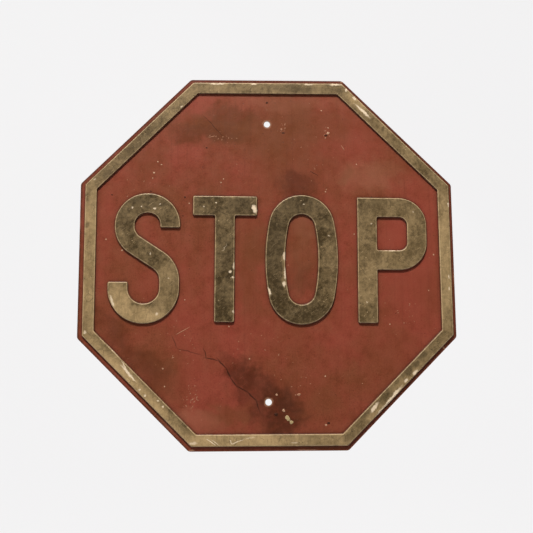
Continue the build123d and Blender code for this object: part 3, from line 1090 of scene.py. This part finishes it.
class STOPSIGN_OT_studio(bpy.types.Operator):
    """Build the floor and backdrop, the lights and the camera"""
    bl_idname = "stopsign.studio"
    bl_label = "Studio"

    def execute(self, context):
        studio = context.scene.stop_sign_studio
        self.sweep(studio, stage_material(context.scene.stop_sign_look))
        self.lights(studio)
        self.sky(context.scene, context.scene.stop_sign_look)
        self.camera(context.scene, studio)
        context.scene.view_settings.view_transform = "Standard"
        return {"FINISHED"}

    def sweep(self, studio, material):
        """One sheet: a floor that bends up into a backdrop."""
        mesh = bpy.data.meshes.new("studio_sweep")
        bm = bmesh.new()
        start = bm.verts.new((-studio.half_span, -studio.half_span, -studio.floor_drop))
        bend = Vector((0.0, studio.backdrop_gap - studio.cove_radius,
                       studio.cove_radius - studio.floor_drop))
        foot = bm.verts.new((-studio.half_span, bend.y, -studio.floor_drop))
        bm.edges.new((start, foot))
        turned = bmesh.ops.spin(bm, geom=[foot], cent=bend, axis=(1.0, 0.0, 0.0),
                                angle=math.pi / 2, steps=COVE_STEPS)
        top = [part for part in turned["geom_last"] if isinstance(part, bmesh.types.BMVert)]
        risen = bmesh.ops.extrude_vert_indiv(bm, verts=top)["verts"]
        bmesh.ops.translate(bm, verts=risen, vec=(0.0, 0.0, studio.half_span))
        widened = bmesh.ops.extrude_edge_only(bm, edges=bm.edges)["geom"]
        far = [part for part in widened if isinstance(part, bmesh.types.BMVert)]
        bmesh.ops.translate(bm, verts=far, vec=(2 * studio.half_span, 0.0, 0.0))
        bmesh.ops.recalc_face_normals(bm, faces=bm.faces)
        bm.to_mesh(mesh)
        bm.free()
        mesh.shade_smooth()
        mesh.materials.append(material)
        sweep = bpy.data.objects.new("studio_sweep", mesh)
        bpy.context.scene.collection.objects.link(sweep)

    def lights(self, studio):
        area_light("key", studio.key_power, KEY_PLACE, 0.5, 0.4, (1.0, 0.96, 0.90))
        area_light("fill", studio.fill_power, FILL_PLACE, 1.6, 1.6)
        area_light("rear", studio.rear_power, REAR_PLACE, 1.2, 1.2)

    def sky(self, scene, look):
        """Soft light from all round, stronger from above. The camera sees pale paper instead."""
        world = bpy.data.worlds.new("studio_air")
        world.use_nodes = True
        nodes = Tree(world.node_tree)
        world.node_tree.nodes.clear()
        where = nodes.add("ShaderNodeTexCoord")
        axes = nodes.add("ShaderNodeSeparateXYZ")
        nodes.feed(axes.inputs[0], where.outputs["Generated"])
        strength = nodes.span(axes.outputs[2], 0.1, 0.9, 0.03, 0.32)
        air = nodes.add("ShaderNodeBackground")
        air.inputs["Color"].default_value = (1.0, 0.98, 0.95, 1.0)
        nodes.feed(air.inputs["Strength"], strength)
        beyond = nodes.add("ShaderNodeBackground")
        beyond.inputs["Color"].default_value = colour(look.paper_seen)
        seen = nodes.add("ShaderNodeLightPath")
        blend = nodes.add("ShaderNodeMixShader")
        nodes.feed(blend.inputs[0], seen.outputs["Is Camera Ray"])
        nodes.feed(blend.inputs[1], air.outputs[0])
        nodes.feed(blend.inputs[2], beyond.outputs[0])
        output = nodes.add("ShaderNodeOutputWorld")
        nodes.feed(output.inputs["Surface"], blend.outputs[0])
        scene.world = world

    def camera(self, scene, studio):
        lens = bpy.data.cameras.new("camera")
        lens.lens = studio.lens
        lens.sensor_width = 36.0
        camera = bpy.data.objects.new("camera", lens)
        stand = Vector((studio.camera_x, FIELD_Y - studio.camera_distance, studio.camera_z))
        aim = Vector((studio.aim_x, FIELD_Y, studio.aim_z))
        facing = (aim - stand).to_track_quat("-Z", "Y").to_matrix().to_4x4()
        roll = Matrix.Rotation(studio.camera_roll, 4, "Z")
        camera.matrix_world = Matrix.Translation(stand) @ facing @ roll
        scene.collection.objects.link(camera)
        scene.camera = camera


class STOPSIGN_PT_panel(bpy.types.Panel):
    """Lists the sign's pieces and the studio"""
    bl_idname = "STOPSIGN_PT_panel"
    bl_label = "Stop Sign"
    bl_space_type = "VIEW_3D"
    bl_region_type = "UI"
    bl_category = "Stop Sign"

    def draw(self, context):
        for operator in OPERATORS:
            self.layout.operator(operator.bl_idname)
        for group in (context.scene.stop_sign_look, context.scene.stop_sign_studio):
            for name in group.__annotations__:
                self.layout.prop(group, name)


OPERATORS = (
    STOPSIGN_OT_effects,
    STOPSIGN_OT_blank,
    STOPSIGN_OT_ground,
    STOPSIGN_OT_spots,
    STOPSIGN_OT_back,
    STOPSIGN_OT_border,
    STOPSIGN_OT_letters,
    STOPSIGN_OT_studio,
)
CLASSES = (StopSignLook, StopSignStudio) + OPERATORS + (STOPSIGN_PT_panel,)


def register():
    for cls in CLASSES:
        bpy.utils.register_class(cls)
    bpy.types.Scene.stop_sign_look = PointerProperty(type=StopSignLook)
    bpy.types.Scene.stop_sign_studio = PointerProperty(type=StopSignStudio)


def unregister():
    del bpy.types.Scene.stop_sign_studio
    del bpy.types.Scene.stop_sign_look
    for cls in reversed(CLASSES):
        bpy.utils.unregister_class(cls)


def main():
    register()
    bpy.ops.stopsign.effects()
    bpy.ops.stopsign.blank()
    bpy.ops.stopsign.ground()
    bpy.ops.stopsign.spots()
    bpy.ops.stopsign.back()
    bpy.ops.stopsign.border()
    bpy.ops.stopsign.letters()
    bpy.ops.stopsign.studio()


if __name__ == "__main__":
    main()
